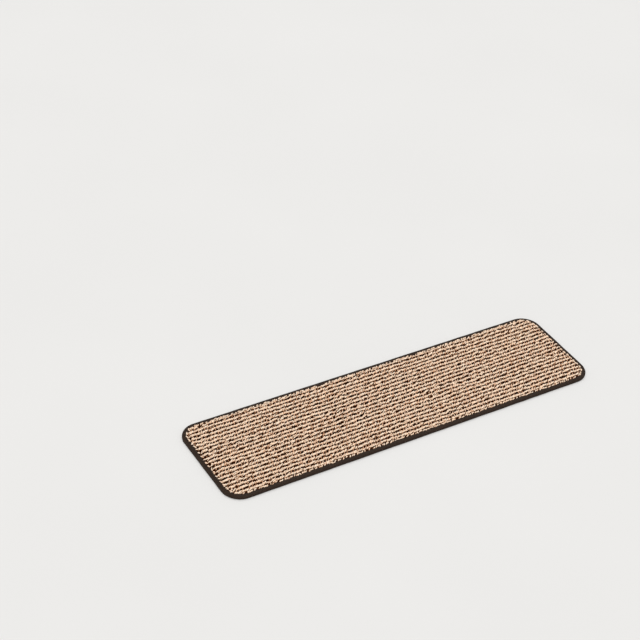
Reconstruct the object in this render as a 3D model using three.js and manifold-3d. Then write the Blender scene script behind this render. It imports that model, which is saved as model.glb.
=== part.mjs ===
// Stair tread mat: a ribbed loop-pile carpet strip on an anti-slip rubber sheet, with its edge
// bound all round by a folded tape that is sewn on.
// Millimetres. X runs along the step, +Y points to the riser, +Z is up.
// The origin is the middle of the underside.
import * as THREE from 'three';
import * as BufferGeometryUtils from 'three/addons/utils/BufferGeometryUtils.js';
import Module from 'manifold-3d';

const wasm = await Module();
wasm.setup();

// Plan of the finished mat
const matLength = 762;
const matDepth = 203;
const cornerRadius = 35;

// Layers, from the step upwards
const pressedRubber = 0.9; // rubber that stays between the tape's under lap and the carpet
const pressedPile = 2.3; // pile squeezed flat inside the folded tape
const carpetBase = 3.0; // ground cloth with the low loops of the grooves
const ribHeight = 3.0; // how far the high loops stand above the grooves

// Ribs of high loops, parallel to the long side
const ribPitch = 8.85;
const grooveWidth = 3.0;
const patternShift = 1.1; // the strip is cut anywhere across the ribs, so they lie off its middle
const pileEdgeRound = 2.0; // the outermost loops lean down to the binding

// Binding tape, folded over the edge
const tapeThickness = 0.9;
const tapeLap = 8.6; // lap on the face and on the underside, measured from the mat's edge
const foldRadius = 1.5;

// Seam: one thread on the face and one on the underside
const threadSize = 0.6;
const seamFromTapeEdge = 2.0;

const seatGap = 0.3; // free space beside a piece that lies inside another

// Fineness of the round shapes. An arc in a Shape gets twice as many pieces as its number here.
const cornerSegments = 6;
const foldSegments = 4;
const ribSegments = 4;

// Heights above the step. The rubber's underside lies flush with the tape's.
const underLapTop = tapeThickness;
const rubberTop = underLapTop + pressedRubber;
const faceLapUnderside = rubberTop + pressedPile;
const faceLapTop = faceLapUnderside + tapeThickness;
const grooveFloor = rubberTop + carpetBase;
const ribTop = grooveFloor + ribHeight;

// Insets from the mat's outer edge
const foldInset = tapeThickness + seatGap;
const pileInset = tapeLap + seatGap;
const seamInset = tapeLap - seamFromTapeEdge;
const seamSink = tapeThickness / 2; // the stitches pull the thread this deep into the tape

/** Draws the mat's rounded plan, inset by a distance, on a Shape or a hole's Path. */
function drawPlan(target, inset) {
  const x = matLength / 2 - inset;
  const y = matDepth / 2 - inset;
  const r = cornerRadius - inset;
  const quarter = Math.PI / 2;
  target.moveTo(x, y - r);
  target.absarc(x - r, y - r, r, 0, quarter, false);
  target.absarc(r - x, y - r, r, quarter, 2 * quarter, false);
  target.absarc(r - x, r - y, r, 2 * quarter, 3 * quarter, false);
  target.absarc(x - r, r - y, r, 3 * quarter, 4 * quarter, false);
  return target;
}

/** A flat plate with the mat's plan between two heights, with its upper and lower edges rounded. */
function plate(inset, bottom, top, round = 0) {
  const geometry = new THREE.ExtrudeGeometry(drawPlan(new THREE.Shape(), inset), {
    depth: top - bottom - 2 * round,
    curveSegments: cornerSegments,
    bevelEnabled: round > 0,
    bevelThickness: round,
    bevelSize: round,
    bevelOffset: -round,
    bevelSegments: foldSegments,
  });
  return geometry.translate(0, 0, bottom + round);
}

/** A closed strip that follows the mat's edge, centred on an inset, between two heights. */
function edgeStrip(inset, width, bottom, top) {
  const shape = drawPlan(new THREE.Shape(), inset - width / 2);
  shape.holes.push(drawPlan(new THREE.Path(), inset + width / 2));
  const geometry = new THREE.ExtrudeGeometry(shape, {
    depth: top - bottom,
    curveSegments: cornerSegments,
    bevelEnabled: false,
  });
  return geometry.translate(0, 0, bottom);
}

/** Outline of the ribs seen along X: an elliptical rib at each place, with flat grooves between. */
function ribSection() {
  const ribWidth = ribPitch - grooveWidth;
  const halfDepth = matDepth / 2;
  const ribReach = halfDepth - pileInset - ribWidth / 2; // no rib is cut lengthwise by the binding
  const firstRib = Math.ceil((-ribReach - patternShift) / ribPitch);
  const lastRib = Math.floor((ribReach - patternShift) / ribPitch);
  const shape = new THREE.Shape();
  shape.moveTo(-halfDepth, rubberTop);
  shape.lineTo(halfDepth, rubberTop);
  shape.lineTo(halfDepth, grooveFloor);
  for (let i = lastRib; i >= firstRib; i -= 1) {
    const y = patternShift + i * ribPitch;
    shape.lineTo(y + ribWidth / 2, grooveFloor);
    shape.absellipse(y, grooveFloor, ribWidth / 2, ribHeight, 0, Math.PI, false, 0);
  }
  shape.lineTo(-halfDepth, grooveFloor);
  return shape;
}

/** The ribs as one long bar over the whole mat, before it is trimmed to the plan. */
function ribbedBar() {
  const geometry = new THREE.ExtrudeGeometry(ribSection(), {
    depth: matLength,
    curveSegments: ribSegments,
    bevelEnabled: false,
  });
  // The section's x becomes +Y, its y becomes +Z, and the extrusion runs along +X.
  const turn = new THREE.Matrix4().makeBasis(
    new THREE.Vector3(0, 1, 0),
    new THREE.Vector3(0, 0, 1),
    new THREE.Vector3(1, 0, 0),
  );
  return geometry.applyMatrix4(turn).translate(-matLength / 2, 0, 0);
}

/** A closed three.js geometry as a solid that can be cut and joined. */
function solid(geometry) {
  const bare = geometry.clone();
  bare.deleteAttribute('normal');
  bare.deleteAttribute('uv');
  const merged = BufferGeometryUtils.mergeVertices(bare, 1e-4);
  return new wasm.Manifold(
    new wasm.Mesh({
      numProp: 3,
      vertProperties: new Float32Array(merged.attributes.position.array),
      triVerts: new Uint32Array(merged.index.array),
    }),
  );
}

/** A solid back as a three.js geometry. */
function geometryOf(manifold) {
  const mesh = manifold.getMesh();
  const geometry = new THREE.BufferGeometry();
  geometry.setAttribute('position', new THREE.BufferAttribute(mesh.vertProperties, 3));
  geometry.setIndex(new THREE.BufferAttribute(mesh.triVerts, 1));
  geometry.computeVertexNormals();
  return geometry;
}

/** Rubber sheet, thinned along its edge where the tape's under lap is pressed into it. */
function rubberBacking() {
  const pressedEdge = solid(plate(foldInset, underLapTop, rubberTop));
  const sheet = solid(plate(pileInset, 0, rubberTop));
  return geometryOf(pressedEdge.add(sheet));
}

/** Carpet: a flattened edge inside the tape and the ribbed pile that stands free of it. */
function pileCarpet() {
  const pressedEdge = solid(plate(foldInset, rubberTop, faceLapUnderside));
  // The envelope reaches as far below the carpet as its edge is rounded, so that only the top is.
  const envelope = solid(plate(pileInset, rubberTop - 2 * pileEdgeRound, ribTop, pileEdgeRound));
  const pile = solid(ribbedBar()).intersect(envelope);
  return geometryOf(pressedEdge.add(pile));
}

/** Binding tape: a folded band round the edge, open inside, with a sunk line for each thread. */
function edgeBinding() {
  const outside = solid(plate(0, 0, faceLapTop, foldRadius));
  const fold = solid(plate(tapeThickness, underLapTop, faceLapUnderside));
  const window = solid(plate(tapeLap, -faceLapTop, 2 * faceLapTop));
  const lineWidth = threadSize + 2 * seatGap;
  const faceLine = solid(
    edgeStrip(seamInset, lineWidth, faceLapTop - seamSink, faceLapTop + seamSink),
  );
  const underLine = solid(edgeStrip(seamInset, lineWidth, -seamSink, seamSink));
  return geometryOf(
    outside.subtract(fold).subtract(window).subtract(faceLine).subtract(underLine),
  );
}

/** Needle thread, on the face: it stands a little proud of the tape. */
function needleThread() {
  const bottom = faceLapTop - seamSink;
  return edgeStrip(seamInset, threadSize, bottom, bottom + threadSize);
}

/** Bobbin thread, on the underside: it is flattened to lie flush with the tape. */
function bobbinThread() {
  return edgeStrip(seamInset, threadSize, 0, seamSink);
}

const carpetFinish = new THREE.MeshStandardMaterial({ color: 0xc4a78f, roughness: 0.95 });
const rubberFinish = new THREE.MeshStandardMaterial({ color: 0x2b2a29, roughness: 0.9 });
const tapeFinish = new THREE.MeshStandardMaterial({ color: 0x3a3231, roughness: 0.9 });
const threadFinish = new THREE.MeshStandardMaterial({ color: 0x2d2726, roughness: 0.7 });

function piece(name, geometry, material) {
  const mesh = new THREE.Mesh(geometry, material);
  mesh.name = name;
  return mesh;
}

const mat = new THREE.Group();
mat.name = 'stair_tread_mat';
mat.add(piece('rubber_backing', rubberBacking(), rubberFinish));
mat.add(piece('pile_carpet', pileCarpet(), carpetFinish));
mat.add(piece('edge_binding', edgeBinding(), tapeFinish));
mat.add(piece('needle_thread', needleThread(), threadFinish));
mat.add(piece('bobbin_thread', bobbinThread(), threadFinish));

export default mat;
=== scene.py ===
"""Looks of the stair tread mat: ribbed loop pile on a rubber sheet, with a folded and sewn tape.

The constants and the shape functions are in millimetres, and meshes are made in metres.
X runs along the step, +Y points to the riser, +Z is up.
"""

import math

import bpy
import numpy as np
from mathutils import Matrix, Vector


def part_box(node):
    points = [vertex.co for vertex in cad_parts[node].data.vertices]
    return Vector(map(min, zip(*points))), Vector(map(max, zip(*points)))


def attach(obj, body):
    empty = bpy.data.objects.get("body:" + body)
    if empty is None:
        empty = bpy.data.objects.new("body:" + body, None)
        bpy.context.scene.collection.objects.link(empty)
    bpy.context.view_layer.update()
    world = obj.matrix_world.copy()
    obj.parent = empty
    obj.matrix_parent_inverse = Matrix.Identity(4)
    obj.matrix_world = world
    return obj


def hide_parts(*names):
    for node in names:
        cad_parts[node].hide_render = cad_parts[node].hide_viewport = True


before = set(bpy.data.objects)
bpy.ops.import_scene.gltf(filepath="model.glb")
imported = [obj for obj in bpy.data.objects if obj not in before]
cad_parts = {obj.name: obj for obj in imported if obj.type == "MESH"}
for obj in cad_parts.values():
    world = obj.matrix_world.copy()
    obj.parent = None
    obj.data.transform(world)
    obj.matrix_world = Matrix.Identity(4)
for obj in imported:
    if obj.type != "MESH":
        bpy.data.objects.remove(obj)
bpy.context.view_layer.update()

MM = 0.001


def cad_corners(node):
    """Lowest and highest corner of a CAD node, in millimetres to the nearest thousandth."""
    return [[round(v / MM, 3) for v in corner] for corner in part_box(node)]


# Plan of the mat and its layers, from the CAD
tape_low, tape_high = cad_corners("edge_binding")
MAT_LENGTH = tape_high[0] - tape_low[0]
MAT_DEPTH = tape_high[1] - tape_low[1]
FACE_LAP_TOP = tape_high[2]
RUBBER_TOP = cad_corners("rubber_backing")[1][2]
RIB_TOP = cad_corners("pile_carpet")[1][2]

# Sizes that the CAD has too, but that its boxes don't show
CORNER_RADIUS = 35.0
TAPE_THICKNESS = 0.9
TAPE_LAP = 8.6
FOLD_RADIUS = 1.5
FACE_LAP_UNDERSIDE = FACE_LAP_TOP - TAPE_THICKNESS
RIB_PITCH = 8.85
GROOVE_WIDTH = 3.0
PATTERN_SHIFT = 1.1  # how far the middle rib lies off the mat's middle
SEAT_GAP = 0.3
SEAM_FROM_TAPE_EDGE = 2.0
FOLD_INSET = TAPE_THICKNESS + SEAT_GAP
PILE_INSET = TAPE_LAP + SEAT_GAP
SEAM_INSET = TAPE_LAP - SEAM_FROM_TAPE_EDGE

# Places of the loops
STITCH = 4.2  # from one loop to the next along a rib
GROOVE_STITCH = 6.2  # from one dark loop to the next along a groove
EDGE_STITCH = 3.1  # from one loop to the next along the binding
STITCH_SPREAD = 0.09  # how uneven the rhythm along a row is, as a share of a stitch
ROW_OFFSET = 0.65 * (RIB_PITCH - GROOVE_WIDTH) / 4  # from a rib's middle to each of its two rows
DARK_OFFSET = 1.15  # from a groove's middle to each of its two dark rows
DARK_STAGGER = 0.3  # how far along the groove each of these two rows is shifted
EDGE_ROW_INSET = PILE_INSET + 0.9
EDGE_ROW_ROOM = 1.9  # from the row along the binding to the nearest other yarns' middles
BAND_COUNT = 7  # the ribs are made in this many pieces
MEANDER = 0.75  # how far the ribs wander sideways
MEANDER_WAVE = 20.0  # length of the shorter bends

# Heights of the middle of a yarn, at its feet and at its highest point
LOOP_FOOT = RUBBER_TOP + 2.4
DARK_FOOT = RUBBER_TOP + 1.8
HIGH_CROWN = RIB_TOP - 1.0
SLANT_CROWN = RIB_TOP - 1.25
EDGE_CROWN = RIB_TOP - 1.5
DARK_CROWN = RIB_TOP - 1.75

# Notches in the row along the binding, where loops are low and dark
NOTCH_DEPTH = 1.1
GROOVE_START = 0.31  # from a rib's middle to the notch at a groove's end, as a share of the pitch
NOTCH_LEVEL = 0.75  # along the ribs, there is a notch where random waves rise above this
END_TURN = 0.35  # an edge that faces this far along X shows the ends of the grooves

# Fineness of the yarns' skins: rings along a yarn, and sides round it
HIGH_TUBE = (6, 6)
LOW_TUBE = (4, 5)
THREAD_TUBE = (5, 5)
TIP_REACH = 0.7  # length of a yarn's pointed end, in half thicknesses

# Painted shade at the yarns' roots: they are darkened towards their roots, where the deep pile
# shades them
ROOT_SHADE_BOTTOM = RIB_TOP - 2.4  # they are darkest from this height downwards
ROOT_SHADE_SPAN = 1.7  # and get lighter over this much above it
EDGE_SHADE_DROP = 0.8  # the painted root shade of the row along the binding starts this much lower down, as that row is more open to light

# Ground cloth, which hides the loops' feet
GROUND_TOP = LOOP_FOOT + 0.4
GROUND_STATIONS = 240  # points along its edge
GROUND_WEAVE = 1.6  # one repeat of its weave

# Tape
LAP_POINTS = 9  # across each lap
FOLD_POINTS = 5  # round each of the fold's two edges
RINGS_PER_STITCH = 3
BAKE_STRIPS = 8  # strips that the way round is cut into on the bake map
TWILL_PITCH = 1.1  # one repeat of its weave
TAPE_BULGE = 0.22  # how far the face lap rises between the fold and the seam
PUCKER = 0.10  # how far the free edge of the face lap waves up and down
CORNER_PUCKER = 0.14  # what is added to that in the corners
FOLD_WAVER = 0.12  # how unevenly the fold lies
LAP_WAVER = 0.2  # how far the laps' free edges wander sideways

# Seam
STITCH_COUNT = 457
THREAD_RADIUS = 0.33
STITCH_REACH = 0.44  # half a stitch's length, as a share of the way to the next stitch
FACE_STITCH = (FACE_LAP_TOP - 0.5, FACE_LAP_TOP - 0.1)  # foot and crown of a stitch
UNDER_STITCH = (0.75, 0.36)
SEAM_SPREAD = 0.9  # how far from the seam its pull reaches
SEAM_PULL = 0.45  # how deep the stitches press the tape on the face
UNDER_PULL = 0.3  # how deep they press it on the underside

# Finish
YARN_PLY = 3.4  # from one ply of a yarn to the next, measured along it
THREAD_PLY = 0.8
WAFFLE_PITCH = 6.0  # one repeat of the rubber's waffle, along X or Y
ROUGH_PATCH = 6.0  # size of the patches of uneven roughness
ROUGH_SPREAD = 0.08

FLOOR_GAP = 0.3  # keeps the floor clear of the mat's underside
FLOOR_REACH = 4000.0  # from the middle of the floor to its sides


def plan_length(inset):
    """Length of the line that follows the mat's edge at an inset."""
    straight = 2 * (MAT_LENGTH + MAT_DEPTH - 4 * CORNER_RADIUS)
    return straight + math.tau * (CORNER_RADIUS - inset)


def along_edge(share, inset):
    """Places along the mat's edge, at shares of the way round at an inset.

    Gives the middle of the corner's arc, or the point at a corner's radius inside the edge, and
    the direction outward from it.
    """
    radius = CORNER_RADIUS - inset
    arc = radius * math.pi / 2
    half = np.array([MAT_LENGTH / 2 - CORNER_RADIUS, MAT_DEPTH / 2 - CORNER_RADIUS])
    distance = (share % 1.0) * plan_length(inset)
    centre = np.zeros((len(share), 2))
    angle = np.zeros(len(share))
    start = 0.0
    for side in range(4):
        turn = side * math.pi / 2
        outward = np.round([math.cos(turn), math.sin(turn)])
        ahead = np.round([-math.sin(turn), math.cos(turn)])
        corner = (outward + ahead) * half
        straight = 2 * abs(half @ ahead)
        here = distance - start
        on_side = (here >= 0) & (here < straight)
        centre[on_side] = corner - ahead * (straight - here[on_side, None])
        angle[on_side] = turn
        on_arc = (here >= straight) & (here < straight + arc)
        centre[on_arc] = corner
        angle[on_arc] = turn + (here[on_arc] - straight) / radius
        start += straight + arc
    outward = np.stack([np.cos(angle), np.sin(angle)], 1)
    return centre, outward


def heading_of(outward):
    """The direction along the mat's edge, as an angle."""
    return np.arctan2(outward[:, 0], -outward[:, 1])


def inset_of(x, y):
    """How far points lie inside the mat's edge."""
    dx = np.abs(x) - (MAT_LENGTH / 2 - CORNER_RADIUS)
    dy = np.abs(y) - (MAT_DEPTH / 2 - CORNER_RADIUS)
    outside = np.hypot(np.maximum(dx, 0), np.maximum(dy, 0))
    return CORNER_RADIUS - np.where(outside > 0, outside, np.maximum(dx, dy))


def drift(x, y, wave_x, wave_y, seed, waves=28):
    """Smooth random waves about 0 with a spread of 1. wave_x and wave_y are their usual lengths."""
    rng = np.random.default_rng(seed)
    total = np.zeros(np.broadcast(x, y).shape)
    for _ in range(waves):
        cycles = rng.normal(1, 0.3) * x / wave_x + rng.normal() * y / wave_y
        total += np.sin(math.tau * (cycles + rng.random()))
    return total * math.sqrt(2 / waves)


# Meshes from arrays


def mesh_object(name, points, corners, sizes, uv_maps, values=None):
    """A smooth mesh object. Points are in millimetres, and values are numbers kept on points."""
    mesh = bpy.data.meshes.new(name)
    mesh.vertices.add(len(points))
    mesh.vertices.foreach_set("co", (points * MM).astype(np.float32).ravel())
    mesh.loops.add(len(corners))
    mesh.loops.foreach_set("vertex_index", corners.astype(np.int32))
    mesh.polygons.add(len(sizes))
    starts = np.concatenate([[0], np.cumsum(sizes)[:-1]])
    mesh.polygons.foreach_set("loop_start", starts.astype(np.int32))
    mesh.polygons.foreach_set("use_smooth", np.ones(len(sizes), dtype=bool))
    for title, places in uv_maps.items():
        layer = mesh.uv_layers.new(name=title)
        layer.uv.foreach_set("vector", places.astype(np.float32).ravel())
    for title, numbers in (values or {}).items():
        field = mesh.attributes.new(title, "FLOAT", "POINT")
        field.data.foreach_set("value", numbers.astype(np.float32))
    mesh.update(calc_edges=True)
    mesh.validate()
    thing = bpy.data.objects.new(name, mesh)
    bpy.context.scene.collection.objects.link(thing)
    return thing


def tube_pattern(rings, sides):
    """How the skin of one yarn is put together: corners, face sizes, places round and along it."""
    faces = []
    last = 1 + (rings - 1) * sides
    tip = 1 + rings * sides
    step = 1 / (rings + 1)
    for j in range(sides):
        a, b = j / sides, (j + 1) / sides
        middle = (a + b) / 2
        k = (j + 1) % sides
        faces.append([(0, middle, 0), (1 + k, b, step), (1 + j, a, step)])
        faces.append([(tip, middle, 1), (last + j, a, 1 - step), (last + k, b, 1 - step)])
        for i in range(rings - 1):
            low, high = 1 + i * sides, 1 + (i + 1) * sides
            v, w = (i + 1) * step, (i + 2) * step
            faces.append([(low + j, a, v), (low + k, b, v), (high + k, b, w), (high + j, a, w)])
    corners = np.array([corner for face in faces for corner in face])
    sizes = np.array([len(face) for face in faces])
    return corners[:, 0].astype(int), sizes, corners[:, 1], corners[:, 2]


def yarns(count, **columns):
    """A table of yarn arches: one array of the same length under each name.

    x, y and foot are the point midway between an arch's feet. reach is from there to each foot,
    yaw is the way that the arch runs, crown is its height, and lean_x and lean_y are how far its
    top lies aside. wide and thick are half the yarn's width and thickness, of which a share of
    thin is left at the feet. tone and tint are for the material, and clear is how many millimetres
    lower the painted shade at the yarn's roots begins.
    """
    table = {"lean_x": 0.0, "lean_y": 0.0, "thin": 0.65, "tone": 0.5, "tint": 0.0, "clear": 0.0}
    table.update(columns)
    return {name: np.broadcast_to(np.asarray(v, float), (count,)) for name, v in table.items()}


def some(table, keep):
    """The yarns of a table that are marked in keep."""
    return {name: column[keep] for name, column in table.items()}


def joined(tables):
    """One table with the yarns of them all."""
    return {name: np.concatenate([t[name] for t in tables]) for name in tables[0]}


def arch_points(t, rings, sides):
    """Points of the yarns' skins: each is an arch from foot to crown and down again."""
    phase = np.linspace(0, math.pi, rings)
    swing, lift = np.cos(phase), np.sin(phase)
    ahead = np.stack([np.cos(t["yaw"]), np.sin(t["yaw"]), 0 * t["yaw"]], 1)[:, None]
    aside = np.stack([-np.sin(t["yaw"]), np.cos(t["yaw"]), 0 * t["yaw"]], 1)[:, None]
    crown = np.stack([t["lean_x"], t["lean_y"], t["crown"] - t["foot"]], 1)[:, None]
    foot = np.stack([t["x"], t["y"], t["foot"]], 1)[:, None]
    reach = t["reach"][:, None, None] * ahead
    line = foot - reach * swing[:, None] + crown * lift[:, None]
    run = reach * lift[:, None] + crown * swing[:, None]
    run /= np.linalg.norm(run, axis=2, keepdims=True)
    across = aside - run * (aside * run).sum(2, keepdims=True)
    across /= np.linalg.norm(across, axis=2, keepdims=True)
    over = np.cross(run, across)
    size = (t["thin"][:, None] + (1 - t["thin"][:, None]) * lift)[:, :, None, None]
    turn = np.arange(sides) * math.tau / sides
    wide = t["wide"][:, None, None, None] * np.cos(turn)[:, None]
    thick = t["thick"][:, None, None, None] * np.sin(turn)[:, None]
    skin = line[:, :, None] + size * (wide * across[:, :, None] + thick * over[:, :, None])
    end = TIP_REACH * t["thick"][:, None]
    tips = line[:, 0] - run[:, 0] * end, line[:, -1] + run[:, -1] * end
    body = skin.reshape(len(skin), -1, 3)
    return np.concatenate([tips[0][:, None], body, tips[1][:, None]], 1)


def yarn_lengths(t):
    """About how long each arch is, measured along it."""
    rise = np.abs(t["crown"] - t["foot"])
    return math.pi * np.sqrt((t["reach"] ** 2 + rise**2) / 2)


def atlas_places(count, around, along):
    """One cell of a square grid for each yarn, with its skin unrolled in it."""
    columns = math.ceil(math.sqrt(count))
    rows = math.ceil(count / columns)
    margin = 0.06
    number = np.arange(count)[:, None]
    u = (number % columns + margin + (1 - 2 * margin) * around) / columns
    v = (number // columns + margin + (1 - 2 * margin) * along) / rows
    return np.stack([u, v], 2).reshape(-1, 2)


def yarn_object(name, t, tube):
    """All the yarns of a table as one mesh."""
    count = len(t["x"])
    corner, sizes, around, along = tube_pattern(*tube)
    points = arch_points(t, *tube)
    per_yarn = points.shape[1]
    corners = (np.arange(count)[:, None] * per_yarn + corner).ravel()
    length = yarn_lengths(t)[:, None] * along
    skin = np.stack([np.broadcast_to(around, length.shape), length], 2).reshape(-1, 2)
    values = {
        "tone": np.repeat(t["tone"], per_yarn),
        "tint": np.repeat(t["tint"], per_yarn),
        # height, raised by clear, sets how much painted shade each point of a yarn gets at its roots
        "height": (points[:, :, 2] + t["clear"][:, None]).ravel(),
    }
    uv_maps = {"OFBake": atlas_places(count, around, along), "Yarn": skin}
    return mesh_object(
        name, points.reshape(-1, 3), corners, np.tile(sizes, count), uv_maps, values
    )


# The pile


def rib_places():
    """The middle of each rib, from front to back."""
    reach = MAT_DEPTH / 2 - PILE_INSET - (RIB_PITCH - GROOVE_WIDTH) / 2
    first = math.ceil((-reach - PATTERN_SHIFT) / RIB_PITCH)
    last = math.floor((reach - PATTERN_SHIFT) / RIB_PITCH)
    return [PATTERN_SHIFT + i * RIB_PITCH for i in range(first, last + 1)]


def row_stations(rng, shift, stitch):
    """Places of the stitches along a row, in a slightly uneven rhythm."""
    count = int(MAT_LENGTH / stitch)
    x = (np.arange(count) - count / 2 + shift) * stitch
    return x + rng.normal(0, STITCH_SPREAD * stitch, count)


def wander(x, y):
    """How far the ribs lie off their straight line."""
    slow = drift(x, y, 5 * MEANDER_WAVE, 60, seed=5)
    quick = drift(x, y, MEANDER_WAVE, 14, seed=6)
    return MEANDER * (0.6 * slow + 0.8 * quick)


def tints(rng, count):
    """How warm or cool each yarn is, from -1 for cool to 1 for warm."""
    return np.clip(rng.normal(0, 0.5, count), -1, 1)


def high_row(y_row, shift, seed):
    """One row of high loops; two of these make a rib."""
    rng = np.random.default_rng(seed)
    x = row_stations(rng, shift, STITCH)
    n = len(x)
    y = y_row + wander(x, y_row) + rng.normal(0, 0.16, n)
    swell = drift(x, y_row, 16, 6, seed=7)
    run = drift(x, y_row, 11, 5, seed=8)
    return yarns(
        n,
        x=x,
        y=y,
        foot=LOOP_FOOT,
        crown=HIGH_CROWN + 0.22 * swell + rng.normal(0, 0.2, n),
        reach=2.85 + rng.normal(0, 0.3, n),
        yaw=np.radians(17 + rng.normal(0, 8, n)),
        lean_x=rng.normal(0.3, 0.3, n),
        lean_y=rng.normal(0, 0.18, n),
        wide=1.08 * (1 + 0.09 * swell + rng.normal(0, 0.07, n)),
        thick=1.1 * (1 + rng.normal(0, 0.06, n)),
        tone=np.clip(0.98 + 0.07 * run + rng.normal(0, 0.09, n), 0.42, 1.1),
        tint=tints(rng, n),
    )


def dark_row(rng, x, y_row, side):
    """One of the two rows of dark low loops in a groove."""
    n = len(x)
    return yarns(
        n,
        x=x + side * DARK_STAGGER,
        y=y_row + wander(x, y_row) + side * DARK_OFFSET + rng.normal(0, 0.15, n),
        foot=DARK_FOOT,
        crown=DARK_CROWN + rng.normal(0, 0.25, n),
        reach=2.05 + rng.normal(0, 0.15, n),
        yaw=np.radians(rng.normal(10, 12, n)),
        wide=1.3,
        thick=0.95,
        tone=np.clip(0.02 + rng.normal(0, 0.07, n), -0.1, 0.3),
        tint=tints(rng, n),
    )


def slanting_row(rng, x, y_row):
    """Light yarns that slant across a groove between its dark loops, with some left out."""
    n = len(x)
    x = x + GROOVE_STITCH / 2 + rng.normal(0, 0.4, n)
    run = 0.5 * drift(x, y_row, 22, 5, seed=9) + rng.normal(0, 0.9, n)
    table = yarns(
        n,
        x=x,
        y=y_row + wander(x, y_row) + rng.normal(0, 0.2, n),
        foot=LOOP_FOOT,
        crown=SLANT_CROWN + 0.25 * np.clip(run, -1, 1.5),
        reach=2.6,
        yaw=np.radians(52 + rng.normal(0, 12, n)),
        wide=0.9,
        thick=0.85,
        tone=np.clip(0.68 + 0.09 * run + rng.normal(0, 0.1, n), 0.2, 1.0),
        tint=tints(rng, n),
    )
    return some(table, run > -1.0)


def groove_rows(y_row, seed):
    """The yarns in a groove: two dark rows, and the light yarns across them."""
    rng = np.random.default_rng(seed)
    x = row_stations(rng, rng.random(), GROOVE_STITCH)
    dark = [dark_row(rng, x, y_row, side) for side in (-1, 1)]
    return [*dark, slanting_row(rng, x, y_row)]


def inside_edge_row(table):
    """Only the yarns that stay clear of the row along the binding."""
    return some(table, inset_of(table["x"], table["y"]) > EDGE_ROW_INSET + EDGE_ROW_ROOM)


def pile_bands():
    """Tables of high and of low yarns for each band of ribs, front to back."""
    ribs = rib_places()
    size = math.ceil(len(ribs) / BAND_COUNT)
    bands = []
    for start in range(0, len(ribs), size):
        high, low = [], []
        for i in range(start, min(start + size, len(ribs))):
            high.append(high_row(ribs[i] - ROW_OFFSET, 0.0, seed=100 + i))
            high.append(high_row(ribs[i] + ROW_OFFSET, 0.5, seed=200 + i))
            low.extend(groove_rows(ribs[i] - RIB_PITCH / 2, seed=300 + i))
        bands.append((inside_edge_row(joined(high)), inside_edge_row(joined(low))))
    return bands


def in_notch(place, outward):
    """Where the outermost loops lie low: at the grooves' ends, and here and there along a rib."""
    from_rib = (place[:, 1] - PATTERN_SHIFT) / RIB_PITCH
    at_groove = np.abs(from_rib - np.round(from_rib)) > GROOVE_START
    by_chance = drift(place[:, 0], place[:, 1], 9, 9, seed=13) > NOTCH_LEVEL
    shows_ends = np.abs(outward[:, 0]) > END_TURN
    return np.where(shows_ends, at_groove, by_chance)


def edge_row():
    """The outermost loops, which lean over the binding a little."""
    rng = np.random.default_rng(11)
    n = int(plan_length(EDGE_ROW_INSET) / EDGE_STITCH)
    share = (np.arange(n) + rng.normal(0, 0.2, n)) / n
    centre, outward = along_edge(share, EDGE_ROW_INSET)
    place = centre + outward * (CORNER_RADIUS - EDGE_ROW_INSET)
    slow = drift(place[:, 0], place[:, 1], 14, 14, seed=12)
    spill = np.clip(1.0 + 0.6 * slow + rng.normal(0, 0.55, n), -0.5, 2.4)
    low = in_notch(place, outward)
    return yarns(
        n,
        x=place[:, 0],
        y=place[:, 1],
        foot=LOOP_FOOT,
        crown=EDGE_CROWN - NOTCH_DEPTH * low + rng.normal(0, 0.28, n),
        reach=2.3 + rng.normal(0, 0.25, n),
        yaw=heading_of(outward) + np.radians(26 + rng.normal(0, 20, n)),
        lean_x=spill * (1 - low) * outward[:, 0],
        lean_y=spill * (1 - low) * outward[:, 1],
        wide=1.12 * (1 + rng.normal(0, 0.13, n)),
        thick=1.05,
        # less painted shade at the roots of this row, which lies more open to light
        clear=EDGE_SHADE_DROP,
        tone=np.clip(0.95 - 0.85 * low + rng.normal(0, 0.08, n), 0.0, 1.1),
        tint=tints(rng, n),
    )


def pile_loops():
    """All the loops: ribs and grooves band by band, then the row along the binding."""
    loops = []
    for number, (high, low) in enumerate(pile_bands(), 1):
        loops.append(yarn_object(f"pile_ribs_{number}", high, HIGH_TUBE))
        loops.append(yarn_object(f"pile_grooves_{number}", low, LOW_TUBE))
    loops.append(yarn_object("pile_edge", edge_row(), HIGH_TUBE))
    return loops


# Bodies that follow the mat's edge


def swept_object(name, rings, station_length):
    """A closed skin through rings of points. rings is stations x profile points x 3.

    Its faces point out where the profile runs anticlockwise, seen along the stations. Its bake
    map has the way round the mat cut into strips, and its other map is in millimetres.
    """
    stations, width = rings.shape[:2]
    i, j = np.meshgrid(np.arange(stations), np.arange(width), indexing="ij")
    i, j = i.ravel(), j.ravel()
    next_i, next_j = i + 1, j + 1
    quad = [(i, j), (next_i, j), (next_i, next_j), (i, next_j)]
    corners = np.stack([(a % stations) * width + b % width for a, b in quad], 1).ravel()
    profile = rings[0]
    steps = np.linalg.norm(np.roll(profile, -1, 0) - profile, axis=1)
    across = np.concatenate([[0], np.cumsum(steps)])
    strip_size = math.ceil(stations / BAKE_STRIPS)
    strip = i // strip_size
    end_margin, side_margin = 0.004, 0.03
    bake, real = [], []
    for a, b in quad:
        along = end_margin + (1 - 2 * end_margin) * (a - strip * strip_size) / strip_size
        over = side_margin + (1 - 2 * side_margin) * across[b] / across[-1]
        bake.append(np.stack([along, (strip + over) / BAKE_STRIPS], 1))
        real.append(np.stack([a * station_length, across[b]], 1))
    uv_maps = {
        "OFBake": np.stack(bake, 1).reshape(-1, 2),
        "Tape": np.stack(real, 1).reshape(-1, 2),
    }
    return mesh_object(name, rings.reshape(-1, 3), corners, np.full(len(i), 4), uv_maps)


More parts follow.
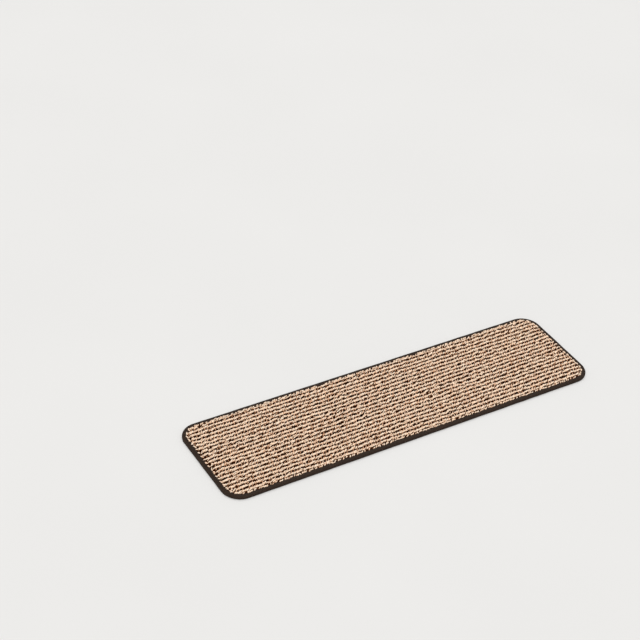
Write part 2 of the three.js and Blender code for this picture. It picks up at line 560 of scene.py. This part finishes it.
def tape_profile():
    """(inset, height) of the folded tape, and how many of the points are on its face lap.

    It runs over the face lap, round the fold, back along the underside, and home on the inside.
    """
    lap = np.linspace(0, 1, LAP_POINTS)
    face = [(TAPE_LAP + (FOLD_RADIUS - TAPE_LAP) * s, FACE_LAP_TOP) for s in lap]
    under = [(FOLD_RADIUS + (TAPE_LAP - FOLD_RADIUS) * s, 0.0) for s in lap]
    upper, lower = [], []
    for turn in np.linspace(0, math.pi / 2, FOLD_POINTS)[1:-1]:
        aside = FOLD_RADIUS * (1 - math.sin(turn))
        down = FOLD_RADIUS * (1 - math.cos(turn))
        upper.append((aside, FACE_LAP_TOP - down))
        lower.append((down, aside))
    side = [(0.0, FACE_LAP_TOP - FOLD_RADIUS), (0.0, FOLD_RADIUS)]
    inside = [
        (TAPE_LAP, TAPE_THICKNESS),
        (TAPE_THICKNESS, TAPE_THICKNESS),
        (TAPE_THICKNESS, FACE_LAP_UNDERSIDE),
        (TAPE_LAP, FACE_LAP_UNDERSIDE),
    ]
    return np.array(face + upper + side + lower + under + inside), len(face)


def tape_rings(stations):
    """The tape's profile at each station, pulled in by the stitches and puckered in the corners."""
    profile, face_count = tape_profile()
    share = np.arange(stations) / stations
    centre, outward = along_edge(share, SEAM_INSET)
    x, y = (centre + outward * CORNER_RADIUS).T
    inset = np.repeat(profile[None, :, 0], stations, 0)
    height = np.repeat(profile[None, :, 1], stations, 0)
    on_face = np.arange(len(profile)) < face_count
    on_side = ~on_face & (profile[:, 0] < FOLD_RADIUS)
    under = ~on_face & (profile[:, 1] == 0.0)
    seam = np.exp(-(((profile[:, 0] - SEAM_INSET) / SEAM_SPREAD) ** 2))
    grip = 0.6 + 0.4 * np.cos(math.tau * STITCH_COUNT * share)
    corner = np.abs(outward).min(1) * math.sqrt(2)
    pucker = drift(x, y, 11, 11, seed=21) * (PUCKER + CORNER_PUCKER * corner)
    bulge = TAPE_BULGE * np.sin(math.pi * (profile[:, 0] / SEAM_INSET).clip(0, 1))
    height += on_face * bulge
    height -= on_face * seam * SEAM_PULL * grip[:, None]
    height += on_face * (profile[:, 0] / TAPE_LAP) ** 2 * pucker[:, None]
    height += under * seam * UNDER_PULL * grip[:, None]
    inset += on_side * FOLD_WAVER * (1 + drift(x, y, 60, 60, seed=22))[:, None].clip(0, 2)
    inset[:, [0, -1]] += LAP_WAVER * drift(x, y, 25, 25, seed=23)[:, None]
    reach = CORNER_RADIUS - inset
    plan = centre[:, None] + outward[:, None] * reach[:, :, None]
    return np.concatenate([plan, height[:, :, None]], 2)


def edge_tape():
    """The binding tape as one closed skin."""
    stations = RINGS_PER_STITCH * STITCH_COUNT
    # The profile starts on the face and ends inside, so it is reversed to make its faces point out.
    rings = tape_rings(stations)[:, ::-1]
    return swept_object("tape_fold", rings, plan_length(SEAM_INSET) / stations)


def pile_ground():
    """The carpet's ground cloth under the loops, with its edge pressed flat inside the tape."""
    profile = [
        (FOLD_INSET, RUBBER_TOP),
        (FOLD_INSET, FACE_LAP_UNDERSIDE),
        (PILE_INSET - 0.2, FACE_LAP_UNDERSIDE),
        (PILE_INSET + 0.6, GROUND_TOP - 0.1),
        (PILE_INSET + 3.0, GROUND_TOP),
    ]
    count = GROUND_STATIONS
    around = np.arange(count)
    ahead = (around + 1) % count
    centre, outward = along_edge(around / count, SEAM_INSET)
    points, corners, sizes = [], [], []
    for k, (inset, height) in enumerate(profile):
        plan = centre + outward * (CORNER_RADIUS - inset)
        points.append(np.column_stack([plan, np.full(count, height)]))
        low, high = (k - 1) * count, k * count
        if k > 0:
            quad = np.stack([low + around, low + ahead, high + ahead, high + around], 1)
            corners.append(quad.ravel())
            sizes.extend([4] * count)
    top = around + (len(profile) - 1) * count
    bottom = around[::-1]
    corners = np.concatenate([*corners, top, bottom])
    sizes = np.array([*sizes, count, count])
    points = np.concatenate(points)
    flat = points[corners][:, :2]
    return mesh_object("pile_ground", points, corners, sizes, {"Cloth": flat})


def seam_stitches(name, heights, seed):
    """One row of the seam's stitches on a face of the tape. heights are of foot and crown."""
    rng = np.random.default_rng(seed)
    count = STITCH_COUNT
    centre, outward = along_edge((np.arange(count) + 0.5) / count, SEAM_INSET)
    wobble = rng.normal(0, 0.06, count)
    place = centre + outward * (CORNER_RADIUS - SEAM_INSET + wobble)[:, None]
    table = yarns(
        count,
        x=place[:, 0],
        y=place[:, 1],
        foot=heights[0],
        crown=heights[1],
        reach=STITCH_REACH * plan_length(SEAM_INSET) / count,
        yaw=heading_of(outward) + rng.normal(0, 0.05, count),
        wide=THREAD_RADIUS,
        thick=THREAD_RADIUS,
        thin=0.8,
        tone=rng.random(count),
    )
    return yarn_object(name, table, THREAD_TUBE)


# Materials


def tone_of(red, green, blue):
    """A colour given as 0-255 screen values, as Blender's linear light."""
    screen = np.array([red, green, blue]) / 255
    light = np.where(screen <= 0.04045, screen / 12.92, ((screen + 0.055) / 1.055) ** 2.4)
    return (*light.tolist(), 1.0)


class Recipe:
    """A material that is put together from nodes."""

    def __init__(self, name, specular, sheen=0.0):
        self.material = bpy.data.materials.new(name)
        self.material.use_nodes = True
        self.tree = self.material.node_tree
        self.surface = self.tree.nodes["Principled BSDF"]
        self.surface.inputs["Specular IOR Level"].default_value = specular
        self.surface.inputs["Sheen Weight"].default_value = sheen

    def node(self, kind, inputs, output=0, **settings):
        """Adds a node with these inputs and settings, and gives one of its outputs."""
        made = self.tree.nodes.new(kind)
        for key, value in settings.items():
            setattr(made, key, value)
        for key, value in inputs.items():
            self.feed(made.inputs[key], value)
        return made.outputs[output]

    def feed(self, socket, value):
        """Links a value to a socket, or sets it there if it is a constant."""
        if isinstance(value, bpy.types.NodeSocket):
            self.tree.links.new(value, socket)
        else:
            socket.default_value = value

    def value(self, name):
        """A number kept on the mesh's points."""
        return self.node("ShaderNodeAttribute", {}, "Fac", attribute_name=name)

    def place(self):
        """The point's place on the object, in millimetres."""
        metres = self.node("ShaderNodeTexCoord", {}, "Object")
        return self.scaled(metres, 1 / MM)

    def first_two(self, vector):
        """The x and y of a vector."""
        parts = self.tree.nodes.new("ShaderNodeSeparateXYZ")
        self.feed(parts.inputs[0], vector)
        return parts.outputs[0], parts.outputs[1]

    def skin(self, uv_map):
        """The two numbers of a UV map."""
        return self.first_two(self.node("ShaderNodeUVMap", {}, uv_map=uv_map))

    def maths(self, operation, a, b=0.0):
        """One step of arithmetic on numbers."""
        return self.node("ShaderNodeMath", {0: a, 1: b}, operation=operation)

    def total(self, start, *terms):
        """A number with other numbers added, each times its own factor."""
        for value, factor in terms:
            inputs = {0: value, 1: factor, 2: start}
            start = self.node("ShaderNodeMath", inputs, operation="MULTIPLY_ADD")
        return start

    def wave(self, value, length):
        """A sine of a value, from -1 to 1, that repeats at this length."""
        return self.maths("SINE", self.maths("MULTIPLY", value, math.tau / length))

    def weave(self, one, two):
        """Raised and sunk squares where two waves cross, from 0 to 1."""
        return self.total(0.5, (self.maths("MULTIPLY", one, two), 0.5))

    def noise(self, vector, size, detail=2.0):
        """Cloudy values from 0 to 1; size is in millimetres."""
        inputs = {"Vector": vector, "Scale": 1 / size, "Detail": detail}
        return self.node("ShaderNodeTexNoise", inputs, "Fac")

    def ramp(self, value, stops):
        """The colour at a value between stops of (position, colour)."""
        made = self.tree.nodes.new("ShaderNodeValToRGB")
        self.feed(made.inputs[0], value)
        elements = made.color_ramp.elements
        while len(elements) < len(stops):
            elements.new(0.5)
        for element, (position, colour) in zip(elements, stops):
            element.position = position
            element.color = colour
        return made.outputs[0]

    def scaled(self, vector, amount):
        """A vector or colour times a number."""
        return self.node("ShaderNodeVectorMath", {0: vector, 3: amount}, operation="SCALE")

    def times(self, one, two):
        """The product of two vectors or colours."""
        return self.node("ShaderNodeVectorMath", {0: one, 1: two}, operation="MULTIPLY")

    def mixed(self, share, one, two):
        """From one colour at a share of 0 to two at 1. The numbers are the node's colour sockets."""
        inputs = {0: share, 6: one, 7: two}
        return self.node("ShaderNodeMix", inputs, 2, data_type="RGBA")

    def finish(self, colour, height, depth, rough):
        """Links the colour, a bump that is depth millimetres deep, and an uneven roughness."""
        bump = self.node("ShaderNodeBump", {"Height": height, "Distance": depth * MM}, "Normal")
        uneven = self.noise(self.place(), ROUGH_PATCH)
        roughness = self.total(rough - ROUGH_SPREAD, (uneven, 2 * ROUGH_SPREAD))
        self.feed(self.surface.inputs["Base Color"], colour)
        self.feed(self.surface.inputs["Normal"], bump)
        self.feed(self.surface.inputs["Roughness"], roughness)
        return self.material


def ply_ridges(recipe, pitch, plies):
    """Rounded ridges of the plies that are twisted round a yarn, from 0 to 1."""
    around, along = recipe.skin("Yarn")
    turns = recipe.total(0.0, (around, plies), (along, 1 / pitch))
    return recipe.maths("ABSOLUTE", recipe.wave(turns, 2))


def yarn_streaks(recipe):
    """Fine streaks along the yarn, which differ from yarn to yarn with its tint."""
    around, along = recipe.skin("Yarn")
    place = recipe.node("ShaderNodeCombineXYZ", {0: around, 1: along, 2: recipe.value("tint")})
    stretched = recipe.times(place, (10.0, 0.6, 20.0))
    return recipe.noise(stretched, size=1.0, detail=3.0)


def painted_root_shade(recipe):
    """Painted shade that the colour is multiplied by: dark and warm at the roots, where the deep
    pile shades the yarns, and white at the top.
    """
    stops = [
        (0.0, (0.17, 0.08, 0.03, 1.0)),
        (0.5, (0.6, 0.44, 0.32, 1.0)),
        (1.0, (1.0, 1.0, 1.0, 1.0)),
    ]
    height = recipe.value("height")
    return recipe.ramp(recipe.total(-ROOT_SHADE_BOTTOM / ROOT_SHADE_SPAN, (height, 1 / ROOT_SHADE_SPAN)), stops)


def yarn_material():
    """Wool-like loops in cream, tan and dark brown, twisted from two plies, with painted shade at
    their roots and painted highlight and shade on their plies and fibres.
    """
    recipe = Recipe("looped_yarn", specular=0.0)
    stops = [
        (0.0, tone_of(58, 25, 4)),
        (0.2, tone_of(87, 45, 17)),
        (0.45, tone_of(148, 98, 62)),
        (0.7, tone_of(232, 186, 151)),
        (1.0, tone_of(255, 232, 207)),
    ]
    cool, warm = (0.975, 1.0, 1.035, 1.0), (1.03, 0.995, 0.95, 1.0)
    streak = yarn_streaks(recipe)
    tone = recipe.total(-0.25, (streak, 0.5), (recipe.value("tone"), 1.0))
    cast = recipe.mixed(recipe.total(0.5, (recipe.value("tint"), 0.5)), cool, warm)
    colour = recipe.times(recipe.ramp(tone, stops), cast)
    ply = ply_ridges(recipe, YARN_PLY, 2)
    fibre = recipe.noise(recipe.place(), size=0.45, detail=4.0)
    # light: painted highlight on the ridges of the plies and fibres and painted shade in their
    # hollows, following their bumps, mixed with random streaks; this and the painted root shade
    # multiply the colour
    light = recipe.total(0.33, (ply, 0.3), (fibre, 0.6), (streak, 0.5))
    colour = recipe.times(recipe.scaled(colour, light), painted_root_shade(recipe))
    return recipe.finish(colour, recipe.total(ply, (fibre, 0.9)), depth=0.45, rough=0.9)


def ground_material():
    """Dark brown woven cloth that shows only between the loops."""
    recipe = Recipe("ground_cloth", specular=0.06)
    x, y = recipe.skin("Cloth")
    weave = recipe.weave(recipe.wave(x, GROUND_WEAVE), recipe.wave(y, GROUND_WEAVE))
    colour = recipe.ramp(weave, [(0.0, tone_of(42, 23, 10)), (1.0, tone_of(74, 46, 25))])
    return recipe.finish(colour, weave, depth=0.3, rough=0.92)


def tape_material():
    """Matte dark brown woven tape: a fine twill with uneven yarns."""
    recipe = Recipe("binding_tape", specular=0.12, sheen=0.03)
    along, across = recipe.skin("Tape")
    twill = recipe.wave(recipe.maths("ADD", along, across), TWILL_PITCH)
    thread = recipe.wave(along, TWILL_PITCH / 2)
    weave = recipe.total(0.5, (twill, 0.5), (thread, 0.2))
    mottle = recipe.noise(recipe.place(), size=2.2, detail=3.0)
    stops = [
        (0.15, tone_of(33, 24, 18)),
        (0.5, tone_of(49, 37, 29)),
        (0.85, tone_of(69, 53, 42)),
    ]
    colour = recipe.ramp(recipe.total(0.0, (mottle, 0.75), (weave, 0.3)), stops)
    return recipe.finish(colour, weave, depth=0.25, rough=0.85)


def thread_material():
    """Twisted sewing thread, close to the tape in colour."""
    recipe = Recipe("seam_thread", specular=0.3, sheen=0.05)
    ply = ply_ridges(recipe, THREAD_PLY, 3)
    blend = recipe.total(0.0, (ply, 0.7), (recipe.value("tone"), 0.3))
    colour = recipe.ramp(blend, [(0.0, tone_of(36, 27, 22)), (1.0, tone_of(72, 58, 48))])
    return recipe.finish(colour, ply, depth=0.12, rough=0.6)


def rubber_material():
    """Dark rubber with a fine raised waffle that grips the step."""
    recipe = Recipe("grip_rubber", specular=0.35)
    place = recipe.place()
    x, y = recipe.first_two(place)
    rising = recipe.wave(recipe.maths("ADD", x, y), WAFFLE_PITCH)
    falling = recipe.wave(recipe.maths("SUBTRACT", x, y), WAFFLE_PITCH)
    waffle = recipe.weave(rising, falling)
    grain = recipe.noise(place, size=0.7, detail=3.0)
    dust = recipe.noise(place, size=45.0, detail=4.0)
    blend = recipe.total(0.0, (waffle, 0.55), (dust, 0.3))
    colour = recipe.ramp(blend, [(0.2, tone_of(36, 35, 34)), (0.8, tone_of(82, 80, 77))])
    return recipe.finish(colour, recipe.total(waffle, (grain, 0.25)), depth=0.6, rough=0.8)


def set_material(thing, material):
    """Gives an object this material alone."""
    thing.data.materials.clear()
    thing.data.materials.append(material)


# The scene around the mat


def open_from_below(recipe):
    """Lets the mat's underside be seen through the floor, and be lit through it."""
    side = recipe.node("ShaderNodeNewGeometry", {}, "Backfacing")
    length = recipe.node("ShaderNodeLightPath", {}, "Ray Length")
    from_underside = recipe.maths("LESS_THAN", length, 4 * FLOOR_GAP * MM)
    either = recipe.maths("MAXIMUM", side, from_underside)
    clear = recipe.node("ShaderNodeBsdfTransparent", {})
    inputs = {0: either, 1: recipe.surface.outputs[0], 2: clear}
    both = recipe.node("ShaderNodeMixShader", inputs)
    recipe.feed(recipe.tree.nodes["Material Output"].inputs["Surface"], both)


def pale_floor():
    """A wide, nearly white floor that takes the mat's shadow."""
    recipe = Recipe("pale_floor", specular=0.1)
    cloud = recipe.noise(recipe.place(), size=400.0)
    colour = recipe.ramp(cloud, [(0.0, tone_of(228, 227, 225)), (1.0, tone_of(232, 231, 229))])
    square = [(-1, -1), (1, -1), (1, 1), (-1, 1)]
    points = np.array([(x * FLOOR_REACH, y * FLOOR_REACH, -FLOOR_GAP) for x, y in square])
    floor = mesh_object("floor", points, np.arange(4), np.array([4]), {})
    set_material(floor, recipe.finish(colour, cloud, depth=0.0, rough=0.95))
    open_from_below(recipe)


def soft_light(name, azimuth, elevation, share, softness):
    """A wide lamp that gives a share of the light on a level face. Azimuth 0 is the front."""
    data = bpy.data.lights.new(name, "SUN")
    data.angle = math.radians(softness)
    data.energy = share * math.pi / math.sin(math.radians(abs(elevation)))
    lamp = bpy.data.objects.new(name, data)
    bpy.context.scene.collection.objects.link(lamp)
    lamp.rotation_euler = (math.radians(90 - elevation), 0, math.radians(azimuth))


def surroundings(strength, backdrop):
    """Even light from all round, and how bright the far background shows."""
    world = bpy.data.worlds.new("studio")
    world.use_nodes = True
    tree = world.node_tree
    sky = tree.nodes["Background"]
    sky.inputs["Color"].default_value = (1, 1, 1, 1)
    ray = tree.nodes.new("ShaderNodeLightPath")
    level = tree.nodes.new("ShaderNodeMix")
    level.inputs["A"].default_value = strength
    level.inputs["B"].default_value = backdrop
    tree.links.new(ray.outputs["Is Camera Ray"], level.inputs["Factor"])
    tree.links.new(level.outputs["Result"], sky.inputs["Strength"])
    bpy.context.scene.world = world


def camera_of_the_photo():
    """The camera's place in metres and its turn in radians, fitted to the photo's lowest mat."""
    data = bpy.data.cameras.new("camera")
    data.sensor_width = 36
    data.lens = 93.406
    data.clip_end = 50
    camera = bpy.data.objects.new("camera", data)
    bpy.context.scene.collection.objects.link(camera)
    camera.location = (-1.394427, -1.808497, 1.913317)
    camera.rotation_euler = (0.916183, -0.074399, -0.538271)
    bpy.context.scene.camera = camera


def tie(piece, material, node):
    """Gives a piece its material, hides the CAD node that it stands for, and attaches it to the root
    body.
    """
    set_material(piece, material)
    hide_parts(node)
    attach(piece, "root")


def build_mat():
    """Makes all the pieces of the mat."""
    yarn = yarn_material()
    loops = pile_loops()
    for piece in loops:
        tie(piece, yarn, "pile_carpet")
    ground = pile_ground()
    tie(ground, ground_material(), "pile_carpet")
    tape = edge_tape()
    tie(tape, tape_material(), "edge_binding")
    thread = thread_material()
    upper = seam_stitches("seam_face", FACE_STITCH, seed=31)
    tie(upper, thread, "needle_thread")
    lower = seam_stitches("seam_underside", UNDER_STITCH, seed=32)
    tie(lower, thread, "bobbin_thread")
    set_material(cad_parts["rubber_backing"], rubber_material())


build_mat()
pale_floor()
surroundings(strength=0.38, backdrop=0.83)
soft_light("key", azimuth=-35, elevation=62, share=0.55, softness=12)
soft_light("fill", azimuth=150, elevation=60, share=0.14, softness=40)
soft_light("from_below", azimuth=60, elevation=-30, share=0.5, softness=20)
camera_of_the_photo()
bpy.context.scene.view_settings.view_transform = "Standard"
